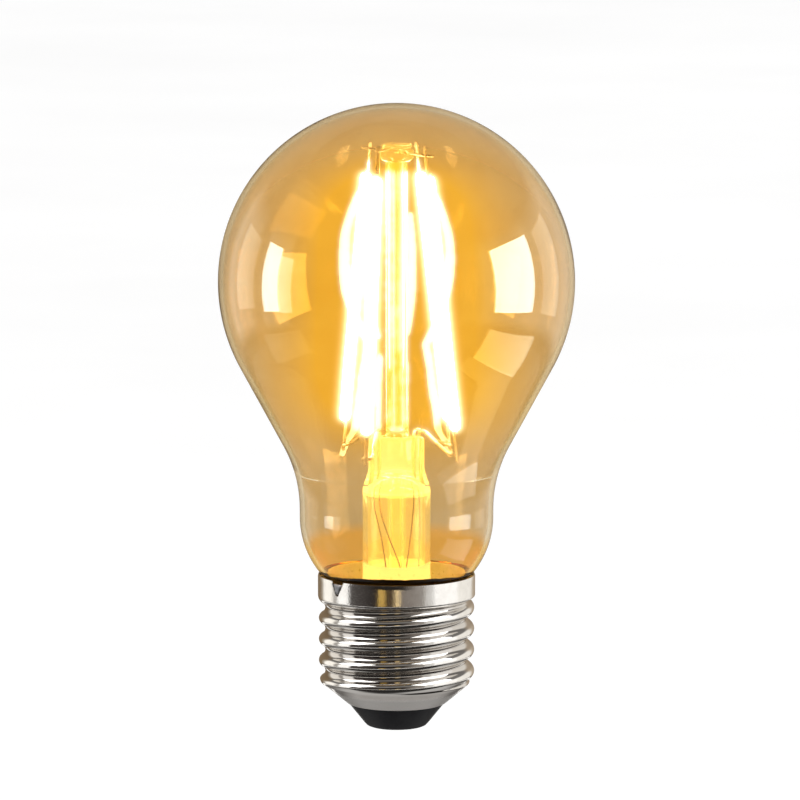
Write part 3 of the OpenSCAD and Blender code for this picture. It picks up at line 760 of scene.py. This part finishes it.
def screw_shell():
    half, foot = (math.degrees(w / COLLAR_R) for w in (NOTCH_W / 2, NOTCH_FOOT))
    near = [NOTCH + s * (foot + (half - foot) * k / 4) for s in (-1, 1) for k in range(5)] + [NOTCH]
    angles = sorted([a for a in np.arange(0, 360, 1.8) if abs(a - NOTCH) > half + 0.6] + near)
    body_top = RIM - NOTCH_DEPTH - 0.5
    heights = [FOOT_Z, FOOT_Z + 0.08, 4.6, 5.4, 6.3, *np.arange(THREAD_Z0, body_top, PITCH / 26), body_top]

    def wall(inset):
        def point(degrees, z, section, at_edge):
            """A point at height z, as far out as the shell is at the height named section."""
            thinned = EDGE_ROUND if at_edge else 0.0
            r = shell_r(section, degrees) - (SHELL_WALL - thinned if inset else thinned)
            a = math.radians(degrees)
            return r * math.cos(a), r * math.sin(a), z

        rings = [[point(a, z, z, z == FOOT_Z) for a in angles] for z in heights]
        for share in (0.25, 0.5, 0.75, 0.9, 1.0):
            tops = [body_top + (RIM - rim_depth(a) - body_top) * share for a in angles]
            rings.append([point(a, z, RIM, share == 1.0) for a, z in zip(angles, tops)])
        return rings

    return skin(wall(False) + wall(True)[::-1], loop=True)


piece("screw_shell", screw_shell(), 42)


def side_solder():
    """A drop that fills the gap, a little proud of the collar in its middle."""
    rows, columns = 12, 12
    front, back = [], []
    for i in range(rows + 1):
        z = RIM - 0.45 - (NOTCH_DEPTH - 0.62) * i / rows
        half = NOTCH_FOOT + (NOTCH_W / 2 - NOTCH_FOOT) * (z - RIM + NOTCH_DEPTH) / NOTCH_DEPTH - 0.07
        for j in range(columns + 1):
            u, v = 2 * j / columns - 1, 2 * i / rows - 1
            dome = math.sqrt(max(0.0, 1 - u * u)) * math.sqrt(max(0.0, 1 - v ** 4))
            a = math.radians(NOTCH + math.degrees(half * u / COLLAR_R))
            for face, r in ((front, COLLAR_R - 0.2 + 0.25 * dome), (back, COLLAR_R - SHELL_WALL + 0.03)):
                face.append((r * math.cos(a), r * math.sin(a), z))
    faces, width, n = [], columns + 1, len(front)
    for i in range(rows):
        for j in range(columns):
            q = i * width + j
            quad = [q, q + 1, q + width + 1, q + width]
            faces += [quad, [n + k for k in reversed(quad)]]
    edge = [*range(width), *(i * width + columns for i in range(1, rows + 1)),
            *(rows * width + j for j in range(columns - 1, -1, -1)),
            *(i * width for i in range(rows - 1, 0, -1))]
    faces += [[p, q, n + q, n + p] for p, q in zip(edge, edge[1:] + edge[:1])]
    return front + back, faces


piece("side_solder", side_solder())

c, bore = span("centre_contact")[1][0], 1.25
insulator = [(bore, 0.65), (c + 0.05, 0.65), (c + 0.05, 0.1), (4.1, 0.1), (4.55, 0.13), (5.1, 0.36),
             (5.57, 0.88), (FOOT_R - 0.2, FOOT_Z - 0.05), (FOOT_R - 0.35, FOOT_Z), (FOOT_R + 0.55, 5),
             (bore, 5)]
piece("cap_insulator", lathe(rounded(insulator, 0.12), 128))
contact = [(0, 0.14), (1.5, 0.14), (1.75, 0), (2.6, 0), (3.1, 0.08), (c, 0.38), (c, 0.6), (1.2, 0.6),
           (1.2, 5.02), (1.9, 5.05), (1.7, 5.35), (0, 5.4)]
piece("centre_contact", lathe(rounded(contact, 0.12), 96))


# ---- Driver, inside the cap ----

low, high = span("insulation_sleeve")
piece("insulation_sleeve", ring(high[0] - 0.3, high[0], low[2], high[2], 128))


def chip_on_board(node, pins, body_share):
    """A moulded body with bent legs along its two long sides, hung under the board."""
    low, high = span(node)
    middle, size = (low + high) / 2, high - low
    inset = size[1] * (1 - body_share) / 2
    body = block((low[0], low[1] + inset, low[2]), (high[0], high[1] - inset, high[2] - 0.15), 0.15)
    mark = block((low[0] + 0.4, middle[1] - 0.25, low[2]), (low[0] + 0.9, middle[1] + 0.25, low[2] + 0.05))
    shapes = [body, mark]
    for s in (-1, 1):
        tip, root = middle[1] + s * size[1] / 2, middle[1] + s * (size[1] / 2 - inset)
        bend = root - s * 0.1
        for k in range(pins):
            x = low[0] + size[0] * (k + 0.5) / pins
            for y0, y1, z in ((tip, bend, high[2] - 0.14), (bend, root + s * 0.14, middle[2] - 0.1)):
                shapes.append(block((x - 0.2, min(y0, y1), z), (x + 0.2, max(y0, y1), high[2]), 0.04))
    return merged(*shapes)


piece("bridge_rectifier", chip_on_board("bridge_rectifier", 2, 0.74))
piece("driver_chip", chip_on_board("driver_chip", 4, 0.7))

low, high = span("surface_mount_parts")
PART_L, HALF_W, TERMINAL = 1.6, 0.4, 0.28
spots = ((-7, 1.5), (-7, 3.5), (7, 1.5), (7, 3.5), (7.4, -3.2), (5.6, -6), (-4.6, -7.6))
small_parts = []
for x, y in spots:
    for left in (x - PART_L / 2, x + PART_L / 2 - TERMINAL):
        small_parts.append(block((left, y - HALF_W, low[2]), (left + TERMINAL, y + HALF_W, high[2]), 0.06))
    small_parts.append(block((x - 0.53, y - 0.37, low[2] + 0.03), (x + 0.53, y + 0.37, high[2] - 0.03), 0.06))
piece("surface_mount_parts", merged(*small_parts))

low, high = span("smoothing_capacitor")
foot, top, at, r = low[2], high[2], tuple((low + high)[:2] / 2), (high[0] - low[0]) / 2
can = [(0, foot), (r - 0.25, foot), (r, foot + 0.25), (r, foot + 0.9), (r - 0.28, foot + 1.15),
       (r, foot + 1.4), (r, top - 0.3), (r - 0.35, top), (r - 0.6, top - 0.12), (0, top - 0.12)]
vents = [block((at[0] - x, at[1] - y, top - 0.14), (at[0] + x, at[1] + y, top - 0.06), 0.02)
         for x, y in ((1.6, 0.06), (0.06, 1.6))]
piece("smoothing_capacitor", merged(lathe(rounded(can, 0.2), 72, at), *vents))

low, high = span("capacitor_sleeve")
foot, top, r, thin = low[2], high[2], (high[0] - low[0]) / 2, 0.13
sleeve = [(r - thin, foot), (r, foot), (r, foot + 0.5), (r - 0.04, foot + 0.85), (r, foot + 1.2), (r, top),
          (r - thin, top)]
piece("capacitor_sleeve", lathe(rounded(sleeve, 0.05), 72, at))

low, high = span("inductor_core")
foot, at, r, waist = low[2], tuple((low + high)[:2] / 2), (high[0] - low[0]) / 2, 1.3
spool = [(0, foot), (r, foot), (r, foot + 0.9), (waist, foot + 0.9), (waist, foot + 4.9), (r, foot + 4.9),
         (r, high[2]), (0, high[2])]
piece("inductor_core", lathe(rounded(spool, 0.16), 72, at))

low, high = span("inductor_winding")
r, turns, wire = (high[0] - low[0]) / 2, 14, 0.14
coil = [(at[0] + (r - wire) * math.cos(a), at[1] + (r - wire) * math.sin(a),
         low[2] + wire + (high[2] - low[2] - 2 * wire) * a / (2 * math.pi * turns))
        for a in np.linspace(0, 2 * math.pi * turns, turns * 36)]
layer = ring(waist + 0.03, r - 0.25, low[2], high[2], 48, centre=at)
piece("inductor_winding", merged(sweep(coil, wire, 8), layer), 60)

low, high = span("wireless_board")
aerial_z = high[2] - 1.6
strips = [block((x - 0.12, low[1], aerial_z), (x + 0.12, low[1] + 0.06, aerial_z + 1.2), 0.02)
          for x in np.arange(-4.8, 5, 0.8)]
piece("wireless_board", merged(block(low + [0, 0.03, 0], high, 0.06), *strips))
low, high = span("wireless_shield")
piece("wireless_shield", merged(block(low + [0.12, 0.1, 0.12], high - [0.12, 0, 0.12], 0.1),
                                block(low, (high[0], low[1] + 0.55, high[2]), 0.18)))
piece("wireless_chip", block(*span("wireless_chip"), 0.12))
low, high = span("board_pins")
posts = [block((x - 0.25, low[1], low[2]), (x + 0.25, high[1], high[2]), 0.08) for x in (-4, -2, 0, 2, 4)]
piece("board_pins", merged(*posts))

low, high = span("fusible_resistor")
start, end, r, y, z = low[0], high[0], (high[1] - low[1]) / 2, (high + low)[1] / 2, (high + low)[2] / 2
barrel = [(0, start), (r - 0.35, start), (r, start + 0.5), (r - 0.14, start + 1.5), (r - 0.14, end - 1.5),
          (r, end - 0.5), (r - 0.35, end), (0, end)]
piece("fusible_resistor", laid_along_x(lathe(rounded(barrel, 0.4, 6), 48), y, z), 60)
low, high = span("resistor_sleeve")
r = (high[1] - low[1]) / 2
piece("resistor_sleeve", laid_along_x(ring(r - 0.25, r, low[0], high[0], 64, 0.08), y, z))

BOARD_FOOT = span("driver_board")[0][2]
foot = np.array([4.6, y, BOARD_FOOT + 0.1])
route = [(2.77, y, z), (4.3, y, z), (4.6, y, z + 0.4), foot - [0, 0, 0.6], foot]
piece("resistor_lead", sweep(eased(route), 0.3), 60)
route = [(0, 0, 5.42), (0, 0, 6), (-0.3, 0.3, 6.6), (-1.8, 0.4, 7.2), (-4, 0.1, 7.5), (-4.9, -1.4, 7.3),
         (-4.2, y, z), (-2.77, y, z)]
piece("live_wire", sweep(eased(route), 0.35), 60)
c, s = math.cos(math.radians(NOTCH)), math.sin(math.radians(NOTCH))
route = [(12.78, 23.8), (12.78, 22.95), (12.54, 22.5), (12.12, 22.05), (11.6, 21.62), (11.42, 21.2),
         (11.38, 20.6), (11.27, 19.8), (11.27, 12), (11.27, 8.6), (11, 7.9), (9.6, 7.9), (9.3, 8.3),
         (9.3, BOARD_FOOT + 0.1)]
piece("neutral_wire", sweep(eased([(r * c, r * s, z) for r, z in route], 2), 0.15, 10), 60)

for node, obj in frame["nodes"].items():
    if not obj.hide_render:
        obj.data.materials.clear()
        obj.data.materials.append(finish[slots[node]].material)


# ---- Stage, light and camera, in metres ----

def stage_mesh(name, shape, material):
    mesh = bpy.data.meshes.new(name)
    mesh.from_pydata(shape[0], [], shape[1])
    mesh.materials.append(material)
    obj = bpy.data.objects.new(name, mesh)
    scene.collection.objects.link(obj)
    return obj


FLOOR_Z, FLOOR_HALF, SCREEN_R, SCREEN_TOP, BAND_R, BAND_HEIGHTS = -0.4, 9, 0.95, 1.1, 0.9, (-0.37, -0.29)
paper = plain("floor_paper", (0.93, 0.93, 0.93), (0.95, 0.95, 0.95), 0.01, (0.8, 0.9), 0.0)
paper.glow((1, 1, 1), 0.12)
corners = [(x * FLOOR_HALF, y * FLOOR_HALF, FLOOR_Z) for x, y in ((-1, -1), (1, -1), (1, 1), (-1, 1))]
stage_mesh("floor", (corners, [(0, 1, 2, 3)]), paper.material)

# A ring of pale screens and dark gaps, which only reflections see. Azimuth 0 is the front, and 90 is +X.
SCREENS = (
    (-180, (0.25, 0.18, 0.11)), (-147, (0.25, 0.18, 0.11)), (-138, (0.50, 0.44, 0.36)),
    (-131, (1.30, 1.26, 1.18)), (-110, (1.30, 1.26, 1.18)), (-104, (0.50, 0.47, 0.44)),
    (-98, (0.50, 0.48, 0.45)), (-95, (1.35, 1.34, 1.32)), (-76, (1.35, 1.34, 1.32)),
    (-72, (0.10, 0.09, 0.085)), (-31, (0.025, 0.02, 0.018)), (-27, (0.05, 0.035, 0.02)),
    (-25, (0.95, 0.62, 0.16)), (-18, (0.80, 0.50, 0.12)), (-15, (0.07, 0.045, 0.02)),
    (-4, (0.10, 0.06, 0.035)), (-1, (1.2, 0.90, 0.45)), (4, (1.1, 0.85, 0.48)),
    (7, (0.28, 0.24, 0.21)), (40, (0.36, 0.33, 0.30)), (43, (0.75, 0.73, 0.70)),
    (55, (0.85, 0.84, 0.82)), (58, (1.35, 1.34, 1.32)), (98, (1.35, 1.34, 1.32)),
    (102, (1.15, 1.12, 1.06)), (138, (1.05, 1.02, 0.96)), (150, (0.55, 0.46, 0.36)),
    (180, (0.25, 0.18, 0.11)))


def light_only(f, light):
    """A finish's material, made to shine in this colour and do nothing else."""
    f.surface(f.add("Emission", {0: light}).outputs[0])
    return f.material


def screens():
    """The screens stand between two dark bands, and the ones ahead are darker above and below the lamp."""
    f = Finish("studio_screens")
    turned = f.math("ARCTAN2", f.x, f.times(f.y, -1.0))
    share = f.level(turned, 0.0, 1.0, -math.pi, math.pi)
    light = f.ramp(share, *((0.5 + a / 360, colour) for a, colour in SCREENS))
    ahead = f.times(f.level(turned, 0.0, 1.0, math.radians(-33), math.radians(-30)),
                    f.level(turned, 1.0, 0.0, math.radians(8), math.radians(30)))
    off_level = f.level(f.math("ABSOLUTE", f.plus(f.z, 128.0), 0.0), 0.0, 1.0, 45, 75)
    light = f.blend(f.times(ahead, off_level), light, (0.02, 0.018, 0.016))
    light = f.blend(f.level(f.z, 1.0, 0.0, -300, -215), light, (0.13, 0.12, 0.11))
    return light_only(f, f.blend(f.level(f.z, 0.0, 1.0, 380, 560), light, (0.22, 0.21, 0.20)))


def under_card():
    """Grey card under the back of the lamp, and black in front of it."""
    f = Finish("under_card")
    back = f.ramp(f.level(f.radius, 0.0, 1.0, 0, 1000), (0.35, (0.56, 0.55, 0.54)), (0.6, (0.20, 0.19, 0.18)))
    return light_only(f, f.blend(f.level(f.y, 1.0, 0.0, -60, 20), back, (0.03, 0.028, 0.026)))


def low_band():
    f = Finish("low_band")
    return light_only(f, f.ramp(f.noise(0.004), (0.3, (1.1, 1.08, 1.04)), (0.7, (1.3, 1.28, 1.24))))


def fence(radius, *heights):
    """An upright wall round the lamp."""
    return skin([circle(radius, z, 120) for z in heights])


surround = stage_mesh("studio_surround", fence(SCREEN_R, FLOOR_Z + 0.003, SCREEN_TOP), screens())
card = stage_mesh("under_card", (circle(SCREEN_R, FLOOR_Z + 0.004, 120), [list(range(120))]), under_card())
band = stage_mesh("low_band", fence(BAND_R, *BAND_HEIGHTS), low_band())
for obj in (surround, card, band):
    obj.visible_camera = obj.visible_diffuse = obj.visible_transmission = False
    obj.visible_shadow = obj.visible_volume_scatter = False


def softbox(name, azimuth, elevation, width, height, radiance, distance, height_z=0.0):
    """A rectangular light that faces the lamp's axis, at height_z in millimetres."""
    light = bpy.data.lights.new(name, "AREA")
    light.shape, light.size, light.size_y = "RECTANGLE", width, height
    light.energy = radiance * 4 * width * height
    obj = bpy.data.objects.new(name, light)
    a, e = math.radians(azimuth), math.radians(elevation)
    way = Vector((math.sin(a) * math.cos(e), -math.cos(a) * math.cos(e), math.sin(e)))
    obj.location = Vector((0, 0, height_z * MM)) + way * distance
    obj.rotation_euler = way.to_track_quat("Z", "Y").to_euler()
    scene.collection.objects.link(obj)
    obj.visible_camera = False
    return obj


def seen_only_in(lights, names):
    """These lights are reflected by these pieces, and by nothing else."""
    group = bpy.data.collections.new("lit_" + names[0])
    for name in names:
        group.objects.link(pieces[name])
    for obj in lights:
        obj.visible_diffuse = False
        obj.light_linking.receiver_collection = group


for obj in (softbox("key", -60, 35, 0.5, 0.5, 6.0, 1.2), softbox("fill", 70, 25, 0.7, 0.7, 2.0, 1.2)):
    obj.visible_glossy = obj.visible_transmission = False

# Name, azimuth, elevation, width, height, radiance and distance
WINDOWS = (
    ("window_left", -88, 2, 0.19, 0.44, 8.0, 0.8),
    ("window_left_dim", -76, 0, 0.16, 0.40, 2.6, 0.81),
    ("window_right", 82, 3, 0.48, 0.49, 8.0, 0.8),
    ("veil_left", -113, 2, 0.28, 0.40, 0.75, 0.8),
    ("veil_right", 117, 2, 0.28, 0.46, 0.75, 0.8),
    ("sheet_left", -84, -30, 0.34, 0.14, 0.35, 0.6),
    ("sheet_right", 86, -33, 0.44, 0.19, 2.0, 0.6),
    ("sheet_low", 84, -46, 0.46, 0.10, 0.4, 0.6))
windows = [softbox(*row, GLOBE_Z) for row in WINDOWS]
for obj in windows:
    # They show only in mirror images, so they never tint what lies behind the glass.
    obj.data.use_nodes = True
    tree = obj.data.node_tree
    depth = new_node(tree, "ShaderNodeLightPath").outputs["Glossy Depth"]
    mirrored = new_node(tree, "ShaderNodeMath", {0: depth, 1: 0.5}, operation="GREATER_THAN")
    tree.links.new(mirrored.outputs[0], tree.nodes["Emission"].inputs["Strength"])
seen_only_in(windows, ["glass_envelope"])

cap_lights = [softbox("cap_left", -84, 44, 0.60, 0.50, 2.4, 0.8, 15),
              softbox("cap_right", 67, 44, 0.74, 0.50, 2.2, 0.8, 15), band]
seen_only_in(cap_lights, ["screw_shell", "side_solder", "cap_insulator"])

# The world is white to the camera and behind the glass, and nearly black in a mirror image.
world = bpy.data.worlds.new("studio")
scene.world = world
world.use_nodes = True
tree = world.node_tree
path = new_node(tree, "ShaderNodeLightPath").outputs
mirror = new_node(tree, "ShaderNodeMath", {0: path["Is Glossy Ray"], 1: path["Is Transmission Ray"]},
                  operation="SUBTRACT", use_clamp=True)
tones = {0: mirror.outputs[0], 6: (1.0, 1.0, 1.0, 1), 7: (0.10, 0.09, 0.08, 1)}
tone = new_node(tree, "ShaderNodeMix", tones, data_type="RGBA")
tree.links.new(tone.outputs[2], tree.nodes["Background"].inputs["Color"])
scene.cycles.caustics_refractive = False
scene.cycles.caustics_reflective = False

VIEW_W, DISTANCE, ELEVATION, SENSOR_MM = 0.1352, 0.908, math.radians(7.73), 36
camera = bpy.data.objects.new("camera", bpy.data.cameras.new("camera"))
scene.collection.objects.link(camera)
scene.camera = camera
camera.data.sensor_width = SENSOR_MM
camera.data.lens = SENSOR_MM * DISTANCE / VIEW_W
camera.data.clip_start = 0.05
aim = Vector((0.59 * MM, 0, 56.0 * MM))
camera.location = aim + DISTANCE * Vector((0, -math.cos(ELEVATION), math.sin(ELEVATION)))
camera.rotation_euler = (aim - camera.location).to_track_quat("-Z", "Y").to_euler()
scene.view_settings.view_transform = "Standard"


# ---- Bloom, painted on the image: a hot core round the filaments, and near them painted white reflections and a painted amber glow that deepens the glass ----

HOT, ECHO_LEVEL = 5.0, 0.92
scene.use_nodes = True
scene.view_layers[0].use_pass_cryptomatte_object = True
tree = scene.node_tree
tree.nodes.clear()


def image_node(kind, inputs=(), **settings):
    return new_node(tree, "CompositorNode" + kind, inputs, **settings).outputs[0]


def image_math(operation, a, b, clamped=False):
    return image_node("Math", {0: a, 1: b}, operation=operation, use_clamp=clamped)


def tinted(blend, share, image, tint):
    return image_node("MixRGB", {0: share, 1: image, 2: (*tint, 1)}, blend_type=blend)


def blurred(image, across, up):
    return image_node("Blur", {0: image}, filter_type="FAST_GAUSS", size_x=across, size_y=up)


picture = image_node("RLayers")
grey_level = image_node("RGBToBW", {0: picture})
inside_glass = new_node(tree, "CompositorNodeCryptomatteV2", matte_id=envelope.name).outputs["Matte"]
hot = image_math("GREATER_THAN", grey_level, HOT)
core = image_math("MULTIPLY", blurred(hot, 13, 10), 2.2)
near = image_math("MULTIPLY", blurred(hot, 150, 80), 7.5, True)
# echo: painted white reflections near the filaments
echo = image_math("GREATER_THAN", image_math("MULTIPLY", near, grey_level), ECHO_LEVEL)
echo = blurred(echo, 6, 6)
pale = image_node("MapRange", {0: grey_level, 1: 0.6, 2: 1.2, 3: 1.0, 4: 0.0}, use_clamp=True)
haze = image_math("SUBTRACT", inside_glass, echo, True)
haze = image_math("MULTIPLY", image_math("MULTIPLY", haze, near), pale)
# deep: painted amber glow deepening the glass near the filaments
deep = tinted("MULTIPLY", haze, picture, (1.54, 1.26, 0.30))
white = tinted("ADD", echo, deep, (0.7, 0.7, 0.6))
bright = tinted("ADD", core, white, (1.0, 0.82, 0.40))
tree.links.new(bright, tree.nodes.new("CompositorNodeComposite").inputs[0])
